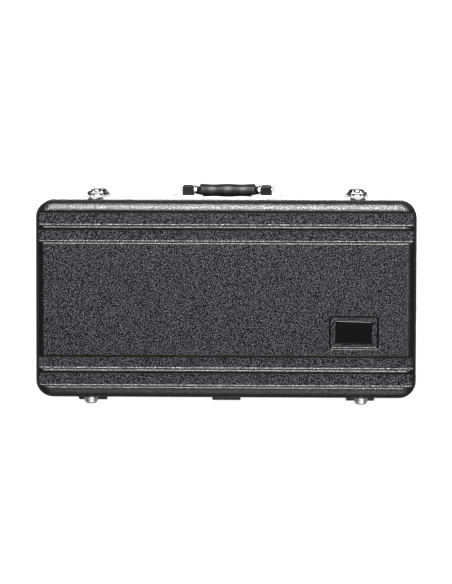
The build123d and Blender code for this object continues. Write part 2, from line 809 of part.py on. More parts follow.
def latch_lever(x):
    """The pressed lever: a hood with a closed low end and a finger lip, and a narrow spine up to the pivot."""
    hood_plane = Plane(origin=(x, -hardware_y, lever_low_z), x_dir=(1, 0, 0), z_dir=(0, 0, 1))
    outer = [
        (-hood_half_width, -hood_low_out),
        (-hood_crown_half, -lever_cover_out),
        (hood_crown_half, -lever_cover_out),
        (hood_half_width, -hood_low_out),
    ]
    inner = [
        (hood_half_width - latch_sheet, -hood_low_out),
        (hood_crown_half - latch_sheet / 2, -cover_in),
        (-hood_crown_half + latch_sheet / 2, -cover_in),
        (-hood_half_width + latch_sheet, -hood_low_out),
    ]
    with BuildPart() as lever:
        with BuildSketch(hood_plane):
            with BuildLine():
                outside = FilletPolyline(*outer, radius=hood_corner + latch_sheet)
                inside = FilletPolyline(*inner, radius=hood_corner)
                Line(outside @ 1, inside @ 0)
                Line(inside @ 1, outside @ 0)
            make_face()
        extrude(amount=hood_top_z - lever_low_z)
        with BuildSketch(hood_plane):
            with BuildLine():
                end_rim = FilletPolyline(*outer, radius=hood_corner + latch_sheet)
                Line(end_rim @ 1, end_rim @ 0)
            make_face()
            with Locations((0, -hood_low_out)):
                Rectangle(2 * hood_half_width, 2 * (hood_end_out - hood_low_out), mode=Mode.SUBTRACT)
        extrude(amount=latch_sheet)
        with BuildSketch(side_plane(x)):
            with BuildLine():
                Polyline(
                    (cover_in, lever_low_z),
                    (lever_cover_out, lever_low_z),
                    (lever_cover_out, lever_top_z),
                    (cover_in, lever_top_z),
                    close=True,
                )
            make_face()
        extrude(amount=lever_spine_half, both=True)
        with BuildSketch(side_plane(x)):
            with BuildLine():
                Polyline(
                    (cover_in, lever_low_z + latch_sheet),
                    (lever_cover_out, lever_low_z + latch_sheet),
                    (lever_cover_out + finger_lip_rise, lever_low_z - finger_lip_drop),
                    (cover_in + finger_lip_rise, lever_low_z - finger_lip_drop),
                    close=True,
                )
            make_face()
        extrude(amount=finger_lip_half, both=True)
        with BuildSketch(side_plane(x - lever_spine_half + latch_sheet), side_plane(x + lever_spine_half)):
            with BuildLine():
                Polyline(
                    (hood_low_out, lever_low_z + latch_sheet),
                    (lever_cover_out, lever_low_z + latch_sheet),
                    (lever_cover_out, lever_top_z),
                    (lever_pivot_out, lever_pivot_z + lever_eye_radius),
                    (lever_pivot_out - lever_eye_radius, lever_pivot_z),
                    (hood_low_out, lever_pivot_z - 2 * lever_eye_radius),
                    close=True,
                )
            make_face()
            with Locations(pivot):
                Circle(lever_eye_radius)
        extrude(amount=latch_sheet)
        with BuildSketch(side_plane(x)):
            with Locations(pivot):
                Circle(lever_pin_radius + running_gap)
            with Locations(link_low):
                Circle(link_pin_radius)
        extrude(amount=lever_spine_half, both=True, mode=Mode.SUBTRACT)
    return lever.part


def pull_bar(x):
    """The bent wire that hooks over the keeper, its legs ending in plugs that hold the springs."""
    plug_high_z = link_high[1] - spring_top_drop
    plug_low_z = plug_high_z - spring_plug_length
    wire_y = -hardware_y - link_high[0]
    leg_tops = [(x + step, wire_y, link_high[1]) for step in both_ways(spring_spacing)]
    leg_ends = [(x + step, wire_y, plug_low_z) for step in both_ways(spring_spacing)]
    with BuildPart() as bar:
        with BuildLine():
            path = FilletPolyline(
                leg_ends[0],
                leg_tops[0],
                leg_tops[1],
                leg_ends[1],
                radius=2 * link_wire_radius,
            )
        with BuildSketch(Plane(origin=path @ 0, z_dir=path % 0)):
            Circle(link_wire_radius)
        sweep()
        with BuildSketch(Plane.XY.offset(plug_low_z)):
            with Locations(*[(end[0], end[1]) for end in leg_ends]):
                Circle(spring_bore)
        extrude(amount=spring_plug_length)
    return bar.part


def latch_springs(x):
    """The two springs as plain tubes, each with a closed lower end and an eye round the link pin."""
    low_z = link_low[1] + link_pin_radius + free_gap
    high_z = link_high[1] - spring_top_drop
    centres = [(x + step, -hardware_y - link_low[0]) for step in both_ways(spring_spacing)]
    eye_planes = [side_plane(x + step + spring_eye_width / 2) for step in both_ways(spring_spacing)]
    with BuildPart() as springs:
        with BuildSketch(Plane.XY.offset(low_z)):
            with Locations(*centres):
                Circle(spring_radius)
        extrude(amount=high_z - low_z)
        with BuildSketch(Plane.XY.offset(low_z + spring_eye_width)):
            with Locations(*centres):
                Circle(spring_bore)
        extrude(amount=high_z - low_z, mode=Mode.SUBTRACT)
        with BuildSketch(*eye_planes):
            with Locations(link_low):
                Circle(spring_eye_radius)
        extrude(amount=spring_eye_width)
        with BuildSketch(*eye_planes):
            with Locations(link_low):
                Circle(link_pin_radius + running_gap)
        extrude(amount=spring_eye_width, mode=Mode.SUBTRACT)
    return springs.part


def keeper(x):
    """The keeper on the lid: a pointed plate with a hooked tongue that the pull bar bears on."""
    lean_out = keeper_lean_y - hardware_y
    hook_centre = (lever_pivot_out, link_high[1] + link_drop)
    hook_radius = link_radius + link_wire_radius + free_gap
    tongue_end = link_high[0] + keeper_tongue_reach
    with BuildPart() as plate:
        with BuildSketch(side_plane(x)):
            with BuildLine():
                Polyline(
                    (0, keeper_low_z),
                    (latch_sheet, keeper_low_z),
                    (latch_sheet, lid_flange_high_z),
                    (lean_out + latch_sheet, keeper_tip_z),
                    (lean_out, keeper_tip_z),
                    (0, lid_flange_high_z),
                    close=True,
                )
            make_face()
        extrude(amount=keeper_half_width, both=True)
        with BuildSketch(wall_plane(-1, case_width / 2 - 2 * shell_wall)):
            with BuildLine():
                Polyline(
                    (x - keeper_half_width, keeper_low_z),
                    (x + keeper_half_width, keeper_low_z),
                    (x + keeper_half_width, keeper_shoulder_z),
                    (x + keeper_tip_half, keeper_tip_z),
                    (x - keeper_tip_half, keeper_tip_z),
                    (x - keeper_half_width, keeper_shoulder_z),
                    close=True,
                )
            make_face()
        extrude(amount=8 * shell_wall, mode=Mode.INTERSECT)
        with BuildSketch(side_plane(x)):
            with Locations(hook_centre):
                Circle(hook_radius + latch_sheet)
                Circle(hook_radius, mode=Mode.SUBTRACT)
            with Locations(((latch_sheet / 2 + tongue_end) / 2, hook_centre[1] - hook_radius)):
                Rectangle(tongue_end - latch_sheet / 2, hook_radius, mode=Mode.INTERSECT)
        extrude(amount=keeper_tongue_half, both=True)
        with BuildSketch(wall_plane(-1, case_width / 2)):
            with Locations(*[(x + step, keeper_rivet_z) for step in both_ways(keeper_rivet_pitch)]):
                Circle(rivet_shank_radius)
        extrude(amount=pad_root_depth, mode=Mode.SUBTRACT)
    return plate.part


ear_outer = lever_spine_half + free_gap + latch_sheet
link_pin_half = spring_spacing + spring_eye_width / 2 + link_pin_end_gap
for place, latch_x in zip(("left", "right"), both_ways(latch_spacing)):
    latch_pieces = {
        "plate": latch_plate(latch_x),
        "lever": latch_lever(latch_x),
        "pivot_pin": cross_pin(
            latch_x,
            pivot,
            lever_pin_radius,
            ear_outer,
            lever_pin_head_radius,
            lever_pin_head_length,
        ),
        "link_pin": cross_pin(latch_x, link_low, link_pin_radius, link_pin_half),
        "pull_bar": pull_bar(latch_x),
        "springs": latch_springs(latch_x),
        "keeper": keeper(latch_x),
    }
    for name, piece in latch_pieces.items():
        piece.label = f"latch_{place}_{name}"
        export_step(piece, f"parts/latch_{place}_{name}.step")

latch_seat_y = hardware_y + latch_plate_thickness
with BuildPart() as latch_rivets:
    add(rivets(-1, latch_seat_y, base_inner_y(latch_rivet_low_z, rivet_tail_radius), latch_rivets_low))
    add(rivets(-1, latch_seat_y, base_inner_y(latch_rivet_high_z, rivet_tail_radius), latch_rivets_high))
latch_rivets.part.label = "latch_rivets"
export_step(latch_rivets.part, "parts/latch_rivets.step")

keeper_inner_y = lid_inner_y(keeper_rivet_z, rivet_tail_radius)
keeper_rivet_group = rivets(-1, hardware_y + latch_sheet, keeper_inner_y, keeper_rivets)
keeper_rivet_group.label = "keeper_rivets"
export_step(keeper_rivet_group, "parts/keeper_rivets.step")

# Handle: two chromed plates with nylon blocks carry the pins that a strap with a moulded grip swings on
handle_y = -hardware_y - handle_pivot_out
grip_y = handle_y + handle_grip_set_back
grip_z = handle_pivot_z - handle_drop
strap_outer_x = handle_plate_x - handle_block_width / 2 - free_gap
strap_inner_x = strap_outer_x - strap_thickness
plate_face_y = hardware_y + handle_plate_thickness
pin_axis = (handle_pivot_out, handle_pivot_z)


def handle_plate(x):
    """A pressed plate riveted to the front wall."""
    with BuildPart() as plate:
        with BuildSketch(wall_plane(-1, hardware_y)):
            with Locations((x, handle_pivot_z)):
                RectangleRounded(handle_plate_length, handle_plate_height, handle_plate_corner)
        extrude(amount=handle_plate_thickness)
        chamfer(plate.faces().sort_by(Axis.Y)[0].edges(), handle_plate_bevel)
        with BuildSketch(wall_plane(-1, case_width / 2)):
            with Locations(*[(x + step, handle_pivot_z) for step in both_ways(handle_rivet_reach)]):
                Circle(rivet_shank_radius)
        extrude(amount=pad_root_depth, mode=Mode.SUBTRACT)
    return plate.part


def handle_block(x):
    """A chamfered nylon block that holds one pivot pin."""
    with BuildPart() as block:
        with BuildSketch(wall_plane(-1, plate_face_y)):
            with Locations((x, handle_pivot_z)):
                Rectangle(handle_block_width, handle_block_height)
        extrude(amount=handle_block_out - handle_plate_thickness)
        chamfer(block.faces().sort_by(Axis.Y)[0].edges(), handle_block_chamfer)
        with BuildSketch(side_plane(x)):
            with Locations(pin_axis):
                Circle(handle_pin_radius)
        extrude(amount=handle_block_width, both=True, mode=Mode.SUBTRACT)
    return block.part


def handle_pin(side):
    """A pivot pin through block and strap, with a domed outer head and a flat inner one."""
    block_outer_x = handle_plate_x + handle_block_width / 2
    start_x = strap_inner_x - free_gap
    shaft = Plane(origin=(side * start_x, handle_y, handle_pivot_z), x_dir=(0, 1, 0), z_dir=(side, 0, 0))
    with BuildPart() as pin:
        with BuildSketch(shaft):
            Circle(handle_pin_radius)
        extrude(amount=block_outer_x - start_x)
        with BuildSketch(shaft.offset(-handle_pin_inner_head)):
            Circle(handle_pin_head_radius)
        extrude(amount=handle_pin_inner_head)
        with BuildSketch(shaft.offset(block_outer_x - start_x)):
            Circle(handle_pin_head_radius)
        extrude(amount=handle_pin_head_length)
        crown = pin.faces().sort_by(Axis.X)[-1 if side > 0 else 0]
        fillet(crown.edges(), handle_pin_head_length * 0.8)
    return pin.part


for place, side in (("left", -1), ("right", 1)):
    handle_pieces = {
        "plate": handle_plate(side * handle_plate_x),
        "block": handle_block(side * handle_plate_x),
        "pin": handle_pin(side),
    }
    for name, piece in handle_pieces.items():
        piece.label = f"handle_{place}_{name}"
        export_step(piece, f"parts/handle_{place}_{name}.step")

handle_inner_y = base_inner_y(handle_pivot_z, rivet_tail_radius)
handle_rivet_group = rivets(-1, plate_face_y, handle_inner_y, handle_rivets_at)
handle_rivet_group.label = "handle_rivets"
export_step(handle_rivet_group, "parts/handle_rivets.step")

with BuildPart() as handle_strap:
    with BuildSketch(side_plane(-strap_inner_x), side_plane(strap_outer_x)):
        with Locations((handle_pivot_out, (handle_pivot_z + grip_z - strap_thickness / 2) / 2)):
            Rectangle(strap_width, handle_drop + strap_thickness / 2)
        with Locations(pin_axis):
            Circle(strap_eye_radius)
    extrude(amount=strap_thickness)
    with Locations((0, grip_y, grip_z)):
        Box(2 * strap_outer_x, strap_width, strap_thickness)
    with BuildSketch(side_plane(0)):
        with Locations(pin_axis):
            Circle(handle_pin_radius + running_gap)
    extrude(amount=2 * strap_outer_x, both=True, mode=Mode.SUBTRACT)
handle_strap.part.label = "handle_strap"
export_step(handle_strap.part, "parts/handle_strap.step")

grip_half = grip_length / 2
shoulder_x = grip_half - grip_end_edge
shoulder_mid = grip_end_edge * sin(radians(45))
with BuildPart() as handle_grip:
    with BuildSketch(Plane(origin=(0, grip_y, grip_z), x_dir=(1, 0, 0), z_dir=(0, -1, 0))):
        with BuildLine():
            Polyline(
                (-grip_half, grip_end_radius - grip_end_edge),
                (-grip_half, grip_collar_radius),
                (-strap_inner_x, grip_collar_radius),
                (-strap_inner_x, 0),
                (strap_inner_x, 0),
                (strap_inner_x, grip_collar_radius),
                (grip_half, grip_collar_radius),
                (grip_half, grip_end_radius - grip_end_edge),
            )
            for side in (-1, 1):
                ThreePointArc(
                    (side * grip_half, grip_end_radius - grip_end_edge),
                    (side * (shoulder_x + shoulder_mid), grip_end_radius - grip_end_edge + shoulder_mid),
                    (side * shoulder_x, grip_end_radius),
                )
            Spline(
                (-shoulder_x, grip_end_radius),
                (-grip_half / 2, grip_waist_radius),
                (0, grip_crown_radius),
                (grip_half / 2, grip_waist_radius),
                (shoulder_x, grip_end_radius),
            )
        make_face()
    revolve(axis=Axis((0, grip_y, grip_z), (1, 0, 0)))
    with Locations((0, grip_y, grip_z)):
        Box(2 * strap_inner_x, strap_width, strap_thickness, mode=Mode.SUBTRACT)
handle_grip.part.label = "handle_grip"
export_step(handle_grip.part, "parts/handle_grip.step")

# Base lining: a plush-covered moulding with bays for the trumpet, mouthpieces and accessories
rebate_low_x = box_low_x - box_ledge
rebate_high_x = box_high_x + box_ledge
rebate_low_y = box_low_y - box_ledge
rebate_high_y = box_high_y + 2 * box_ledge
box_lid_low_z = base_lining_top_z - box_lid_thickness
rod_z = base_lining_top_z - box_lid_thickness / 2
rod_y = rebate_high_y - box_lid_gap - box_lid_thickness / 2


def bay(low_x, high_x, low_y, high_y, floor_z, corner=bay_corner):
    """The space of a straight-sided bay, from floor_z up to the lining's top."""
    with BuildPart() as space:
        with BuildSketch(Plane.XY.offset(floor_z)):
            with Locations(((low_x + high_x) / 2, (low_y + high_y) / 2)):
                RectangleRounded(high_x - low_x, high_y - low_y, corner)
        extrude(amount=base_lining_top_z - floor_z)
    return space.part


leadpipe_high_x = body_low_x + 2 * bay_corner
leadpipe_low_y = bell_y - leadpipe_half
leadpipe_high_y = bell_y + leadpipe_half
rebate_floor_z = box_lid_low_z - free_gap
lining_bays = [
    bay(body_low_x, body_high_x, body_low_y, body_high_y, body_floor_z),
    bay(valve_low_x, valve_high_x, valve_low_y, valve_high_y, valve_floor_z),
    bay(-bay_end_x, leadpipe_high_x, leadpipe_low_y, leadpipe_high_y, leadpipe_floor_z),
    bay(tray_low_x, bay_end_x, tray_low_y, tray_high_y, tray_floor_z),
    bay(box_low_x, box_high_x, box_low_y, box_high_y, box_floor_z, box_ledge),
    bay(rebate_low_x, rebate_high_x, rebate_low_y, rebate_high_y, rebate_floor_z, box_lid_gap),
]

with BuildPart() as base_lining:
    with BuildSketch(Plane.XY.offset(base_land_z)):
        RectangleRounded(lining_length, lining_width, lining_corner)
    extrude(amount=base_lining_top_z - base_land_z)
    fillet(base_lining.faces().sort_by(Axis.Z)[0].edges(), lining_face_edge)
    with BuildSketch(Plane.XY.offset(bell_floor_z)) as bell_outline:
        with BuildLine():
            Polyline(
                (bell_throat_x, bell_y - bell_throat_half),
                (bay_end_x, bell_y - bell_rim_half),
                (bay_end_x, bell_y + bell_rim_half),
                (bell_throat_x, bell_y + bell_throat_half),
                close=True,
            )
        make_face()
        fillet(bell_outline.vertices(), bay_corner)
    extrude(amount=base_lining_top_z - bell_floor_z, mode=Mode.SUBTRACT)
    for space in lining_bays:
        add(space, mode=Mode.SUBTRACT)
    with BuildSketch(Plane.XY.offset(socket_floor_z)):
        with Locations(*[(socket_x, socket_y) for socket_y in socket_ys]):
            Circle(socket_radius)
    extrude(amount=base_lining_top_z - socket_floor_z, mode=Mode.SUBTRACT)
    rod_start_x = rebate_low_x - box_rod_end
    rod_length = rebate_high_x - rebate_low_x + 2 * box_rod_end
    with BuildSketch(Plane.YZ.offset(rod_start_x)):
        with Locations((rod_y, rod_z)):
            Circle(box_rod_radius)
    extrude(amount=rod_length, mode=Mode.SUBTRACT)
base_lining.part.label = "base_lining"
export_step(base_lining.part, "parts/base_lining.step")

with BuildPart() as accessory_hinge_rod:
    with BuildSketch(Plane.YZ.offset(rod_start_x)):
        with Locations((rod_y, rod_z)):
            Circle(box_rod_radius)
    extrude(amount=rod_length)
accessory_hinge_rod.part.label = "accessory_hinge_rod"
export_step(accessory_hinge_rod.part, "parts/accessory_hinge_rod.step")

# Accessory lid: a covered board that turns on the rod through its rounded back edge
board_low_x = rebate_low_x + box_lid_gap
board_high_x = rebate_high_x - box_lid_gap
board_low_y = rebate_low_y + box_lid_gap
with BuildPart() as accessory_lid:
    with BuildSketch(Plane.YZ.offset(board_low_x)):
        with Locations(((board_low_y + rod_y) / 2, rod_z)):
            Rectangle(rod_y - board_low_y, box_lid_thickness)
        with Locations((rod_y, rod_z)):
            Circle(box_lid_thickness / 2)
            Circle(box_rod_radius + running_gap, mode=Mode.SUBTRACT)
    extrude(amount=board_high_x - board_low_x)
accessory_lid.part.label = "accessory_lid"
export_step(accessory_lid.part, "parts/accessory_lid.step")

with BuildPart() as accessory_pull_loop:
    loop_y = board_low_y + box_tab_length / 2
    with BuildSketch(Plane.YZ.offset((board_low_x + board_high_x - box_tab_width) / 2)):
        with Locations((loop_y, base_lining_top_z)):
            Circle(box_tab_length / 3)
            Circle(box_tab_length / 3 - box_tab_thickness, mode=Mode.SUBTRACT)
        with Locations((loop_y, base_lining_top_z + box_tab_length / 2)):
            Rectangle(box_tab_length, box_tab_length, mode=Mode.INTERSECT)
    extrude(amount=box_tab_width)
accessory_pull_loop.part.label = "accessory_pull_loop"
export_step(accessory_pull_loop.part, "parts/accessory_pull_loop.step")

# Lid lining: a plush-covered pad that leaves room above the trumpet
with BuildPart() as lid_lining:
    with BuildSketch(Plane.XY.offset(lid_lining_low_z)):
        RectangleRounded(lining_length, lining_width, lining_corner)
    extrude(amount=lid_land_z - lid_lining_low_z)
    fillet(lid_lining.faces().sort_by(Axis.Z)[-1].edges(), lining_face_edge)
    with BuildSketch(Plane.XY.offset(lid_lining_low_z)):
        RectangleRounded(lid_cavity_length, lid_cavity_width, lid_cavity_corner)
    extrude(amount=lid_cavity_top_z - lid_lining_low_z, mode=Mode.SUBTRACT)
lid_lining.part.label = "lid_lining"
export_step(lid_lining.part, "parts/lid_lining.step")
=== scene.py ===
from math import pi, radians

import bmesh
import bpy
import numpy as np
from mathutils import Matrix, Vector


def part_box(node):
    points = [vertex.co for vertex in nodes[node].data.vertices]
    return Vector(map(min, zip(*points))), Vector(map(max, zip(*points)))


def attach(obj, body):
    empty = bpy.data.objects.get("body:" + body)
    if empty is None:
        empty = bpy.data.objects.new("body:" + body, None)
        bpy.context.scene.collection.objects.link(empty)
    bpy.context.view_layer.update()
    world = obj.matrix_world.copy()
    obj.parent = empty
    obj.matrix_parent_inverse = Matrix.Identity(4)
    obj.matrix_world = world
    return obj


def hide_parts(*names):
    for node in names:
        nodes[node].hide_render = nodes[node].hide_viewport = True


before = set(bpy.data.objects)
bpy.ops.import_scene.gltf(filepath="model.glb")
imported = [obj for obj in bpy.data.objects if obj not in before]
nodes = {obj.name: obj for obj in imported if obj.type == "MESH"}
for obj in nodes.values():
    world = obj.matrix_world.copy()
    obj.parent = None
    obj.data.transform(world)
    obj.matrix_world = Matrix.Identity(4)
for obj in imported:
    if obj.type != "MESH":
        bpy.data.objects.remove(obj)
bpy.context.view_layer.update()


# Camera: it hangs three metres above the lid with a long lens, a little to one side and towards the
# handle. The top of the frame is the front of the case.
eye = Vector((-0.075, -0.165, 3.1553))
aim = Vector((-0.0006, -0.0106, 0.1553))
forward = (aim - eye).normalized()
right = forward.cross(Vector((0, -1, 0))).normalized()
roll = Matrix.Rotation(radians(0.15), 3, "Z")
turn = Matrix((right, right.cross(forward), -forward)).transposed() @ roll
camera_data = bpy.data.cameras.new("camera")
camera_data.sensor_fit = "HORIZONTAL"
camera_data.sensor_width = 36
camera_data.lens = 170.7
camera = bpy.data.objects.new("camera", camera_data)
camera.matrix_world = Matrix.Translation(eye) @ turn.to_4x4()
bpy.context.scene.collection.objects.link(camera)
bpy.context.scene.camera = camera
bpy.context.scene.view_settings.view_transform = "Standard"


# Studio: a white paper floor, a strong softbox high over the front of the case, a weak long one beside
# it and a weak one behind. The paper is white to the lens, dim in mirror images and clear from beneath.
def add_node(tree, kind, inputs=None, **settings):
    """Adds a shader node, sets its properties, then gives each named input a value or a link."""
    node = tree.nodes.new("ShaderNode" + kind)
    for key, value in settings.items():
        setattr(node, key, value)
    for key, value in (inputs or {}).items():
        if isinstance(value, bpy.types.NodeSocket):
            tree.links.new(value, node.inputs[key])
        else:
            node.inputs[key].default_value = value
    return node


def make_material(name):
    """An empty material with its node tree and output node."""
    material = bpy.data.materials.new(name)
    material.use_nodes = True
    material.node_tree.nodes.clear()
    return material, material.node_tree, add_node(material.node_tree, "OutputMaterial")


paper, tree, output = make_material("studio_paper")
seen = add_node(tree, "LightPath")
in_mirror = add_node(
    tree,
    "Math",
    {0: seen.outputs["Is Glossy Ray"], 1: seen.outputs["Is Transmission Ray"]},
    operation="MAXIMUM",
)
mirrored = add_node(tree, "Math", {0: in_mirror.outputs[0], 1: 0.05}, operation="MULTIPLY")
glow_level = add_node(
    tree,
    "Math",
    {0: seen.outputs["Is Camera Ray"], 1: 0.97, 2: mirrored.outputs[0]},
    operation="MULTIPLY_ADD",
)
glow = add_node(tree, "Emission", {"Color": (1, 1, 1, 1), "Strength": glow_level.outputs[0]})
dull = add_node(tree, "BsdfDiffuse", {"Color": (0.08, 0.08, 0.08, 1)})
both = add_node(tree, "AddShader", {0: glow.outputs[0], 1: dull.outputs[0]})
beneath = add_node(tree, "NewGeometry")
clear = add_node(tree, "BsdfTransparent")
sheet = add_node(
    tree, "MixShader", {0: beneath.outputs["Backfacing"], 1: both.outputs[0], 2: clear.outputs[0]}
)
tree.links.new(sheet.outputs[0], output.inputs["Surface"])
floor_z = -0.0003
floor_mesh = bpy.data.meshes.new("studio_floor")
floor_half = 6
floor_corners = [(x * floor_half, y * floor_half, floor_z) for x, y in ((-1, -1), (1, -1), (1, 1), (-1, 1))]
floor_mesh.from_pydata(floor_corners, [], [(0, 1, 2, 3)])
floor_mesh.materials.append(paper)
floor = bpy.data.objects.new("studio_floor", floor_mesh)
bpy.context.scene.collection.objects.link(floor)

world = bpy.data.worlds.new("studio")
world.use_nodes = True
tree = world.node_tree
tree.nodes.clear()
seen = add_node(tree, "LightPath")
level = add_node(tree, "MapRange", {0: seen.outputs["Is Camera Ray"], 3: 0.1, 4: 1.0})
air = add_node(tree, "Background", {"Color": (1, 1, 1, 1), "Strength": level.outputs[0]})
surround = add_node(tree, "OutputWorld", {"Surface": air.outputs[0]})
bpy.context.scene.world = world

# Name, place, what it points at, width, height and power
softboxes = [
    ("key_softbox", (0.0, -1.74, 2.17), (0, 0, 0.1), 1.7, 2.6, 350.0),
    ("crown_softbox", (-1.3, 0.95, 2.9), (-0.4, 0.15, 0.1), 3.4, 0.8, 13.0),
    ("rear_softbox", (-0.3, 2.0, 1.7), (0, 0, 0.1), 2.2, 1.8, 30.0),
]
for name, place, towards, width, height, power in softboxes:
    lamp_data = bpy.data.lights.new(name, "AREA")
    lamp_data.shape = "RECTANGLE"
    lamp_data.size = width
    lamp_data.size_y = height
    lamp_data.energy = power
    lamp = bpy.data.objects.new(name, lamp_data)
    heading = (Vector(towards) - Vector(place)).to_track_quat("-Z", "Y")
    lamp.matrix_world = Matrix.Translation(place) @ heading.to_matrix().to_4x4()
    bpy.context.scene.collection.objects.link(lamp)


# Shells: two tubs of black ABS, vacuum-formed over a tool with a coarse pebble grain, so their faces sparkle;
# on the flat faces the grain's crests are also coloured lighter, partly the grain's pattern and partly a
# painted glint. The grain is lost where the sheet was drawn over the edges.
def make_group(name, inputs, outputs):
    """A shader node group with these named float or vector inputs and outputs."""
    group = bpy.data.node_groups.new(name, "ShaderNodeTree")
    for title, kind in inputs:
        group.interface.new_socket(title, in_out="INPUT", socket_type="NodeSocket" + kind)
    for title, kind in outputs:
        group.interface.new_socket(title, in_out="OUTPUT", socket_type="NodeSocket" + kind)
    return group, group.nodes.new("NodeGroupInput").outputs, group.nodes.new("NodeGroupOutput").inputs


pebble_grain, given, gives = make_group(
    "pebble_grain", [("Vector", "Vector"), ("Cell", "Float")], [("Height", "Float"), ("Crest", "Float")]
)
per_metre = add_node(pebble_grain, "Math", {0: 1.0, 1: given["Cell"]}, operation="DIVIDE")
finer = add_node(pebble_grain, "Math", {0: per_metre.outputs[0], 1: 2.3}, operation="MULTIPLY")
pebbles = add_node(
    pebble_grain, "TexVoronoi", {"Vector": given["Vector"], "Scale": per_metre.outputs[0]}, feature="SMOOTH_F1"
)
grit = add_node(
    pebble_grain, "TexNoise", {"Vector": given["Vector"], "Scale": finer.outputs[0], "Detail": 2.0}
)
domes = add_node(pebble_grain, "MapRange", {0: pebbles.outputs["Distance"], 1: 0.1, 2: 0.7, 3: 1.0, 4: 0.0})
summed = add_node(
    pebble_grain, "Math", {0: grit.outputs[0], 1: 0.9, 2: domes.outputs[0]}, operation="MULTIPLY_ADD"
)
crest = add_node(pebble_grain, "MapRange", {0: summed.outputs[0], 1: 0.91, 2: 1.13})
pebble_grain.links.new(summed.outputs[0], gives["Height"])
pebble_grain.links.new(crest.outputs[0], gives["Crest"])


def use_group(tree, group, inputs):
    """Places a node group in a material, with its inputs given or linked."""
    return add_node(tree, "Group", inputs, node_tree=group)


shell_plastic, tree, output = make_material("shell_plastic")
here = add_node(tree, "TexCoord")
grain = use_group(tree, pebble_grain, {"Vector": here.outputs["Object"], "Cell": 0.0015})
facing = add_node(tree, "SeparateXYZ", {0: here.outputs["Normal"]})
upright = add_node(tree, "Math", {0: facing.outputs[2]}, operation="ABSOLUTE")
flat_face = add_node(tree, "MapRange", {0: upright.outputs[0], 1: 0.98, 2: 0.999})
# Painted glint: on flat faces the crests of the grain take a lighter colour
painted_crest_glint = add_node(
    tree, "Math", {0: grain.outputs["Crest"], 1: flat_face.outputs[0]}, operation="MULTIPLY"
)
colour = add_node(
    tree,
    "Mix",
    {0: painted_crest_glint.outputs[0], 6: (0.002, 0.002, 0.0025, 1), 7: (0.026, 0.024, 0.031, 1)},
    data_type="RGBA",
)
roughness = add_node(tree, "MapRange", {0: flat_face.outputs[0], 3: 0.24, 4: 0.36})
hollow_shine = add_node(tree, "MapRange", {0: flat_face.outputs[0], 3: 0.3, 4: 0.04})
crest_shine = add_node(tree, "MapRange", {0: flat_face.outputs[0], 3: 0.9, 4: 0.4})
shine = add_node(
    tree, "MapRange", {0: grain.outputs["Crest"], 3: hollow_shine.outputs[0], 4: crest_shine.outputs[0]}
)
relief_depth = add_node(tree, "MapRange", {0: flat_face.outputs[0], 3: 0.35, 4: 0.85})
relief = add_node(
    tree, "Bump", {"Height": grain.outputs["Height"], "Strength": relief_depth.outputs[0], "Distance": 0.0007}
)
plastic = add_node(
    tree,
    "BsdfPrincipled",
    {
        "Base Color": colour.outputs[2],
        "Roughness": roughness.outputs[0],
        "Specular IOR Level": shine.outputs[0],
        "Normal": relief.outputs[0],
    },
)
tree.links.new(plastic.outputs[0], output.inputs["Surface"])


def dress(material, *names):
    """Gives a CAD node's own object this material in all its slots."""
    for name in names:
        for slot in nodes[name].material_slots:
            slot.material = material


dress(shell_plastic, "base_shell", "lid_shell")


# Valances: extruded aluminium channel bent round both rims and butt-jointed at the rear, beside the
# middle hinge. Fine die lines run along it under a satin anodised skin.
handling, given, gives = make_group(
    "handling", [("Vector", "Vector"), ("Size", "Float")], [("Smudge", "Float"), ("Ripple", "Float")]
)
per_metre = add_node(handling, "Math", {0: 1.0, 1: given["Size"]}, operation="DIVIDE")
finer = add_node(handling, "Math", {0: per_metre.outputs[0], 1: 12.0}, operation="MULTIPLY")
cloud = add_node(
    handling, "TexNoise", {"Vector": given["Vector"], "Scale": per_metre.outputs[0], "Detail": 4.0}
)
smudge = add_node(handling, "MapRange", {0: cloud.outputs[0], 1: 0.35, 2: 0.7})
ripple = add_node(handling, "TexNoise", {"Vector": given["Vector"], "Scale": finer.outputs[0], "Detail": 1.0})
handling.links.new(smudge.outputs[0], gives["Smudge"])
handling.links.new(ripple.outputs[0], gives["Ripple"])

valance_aluminium, tree, output = make_material("valance_aluminium")
here = add_node(tree, "TexCoord")
along = add_node(tree, "Mapping", {0: here.outputs["Object"], 3: (3.0, 3.0, 2600.0)})
die_lines = add_node(tree, "TexNoise", {"Vector": along.outputs[0], "Scale": 1.0, "Detail": 2.0})
worn = use_group(tree, handling, {"Vector": here.outputs["Object"], "Size": 0.03})
place = add_node(tree, "SeparateXYZ", {0: here.outputs["Object"]})
joint_x = 0.052
joint_half_gap = 0.00018
from_joint = add_node(tree, "Math", {0: place.outputs[0], 1: joint_x}, operation="SUBTRACT")
off_joint = add_node(tree, "Math", {0: from_joint.outputs[0]}, operation="ABSOLUTE")
in_joint = add_node(tree, "Math", {0: off_joint.outputs[0], 1: joint_half_gap}, operation="LESS_THAN")
at_rear = add_node(tree, "Math", {0: place.outputs[1], 1: 0.1}, operation="GREATER_THAN")
joint = add_node(tree, "Math", {0: in_joint.outputs[0], 1: at_rear.outputs[0]}, operation="MULTIPLY")
colour = add_node(
    tree, "Mix", {0: joint.outputs[0], 6: (0.8, 0.8, 0.81, 1), 7: (0.05, 0.05, 0.05, 1)}, data_type="RGBA"
)
roughness = add_node(tree, "MapRange", {0: worn.outputs["Smudge"], 3: 0.42, 4: 0.52})
relief = add_node(tree, "Bump", {"Height": die_lines.outputs[0], "Strength": 0.12, "Distance": 0.0001})
metal = add_node(
    tree,
    "BsdfPrincipled",
    {
        "Base Color": colour.outputs[2],
        "Metallic": 1.0,
        "Roughness": roughness.outputs[0],
        "Normal": relief.outputs[0],
    },
)
tree.links.new(metal.outputs[0], output.inputs["Surface"])
dress(valance_aluminium, "base_valance", "lid_valance")


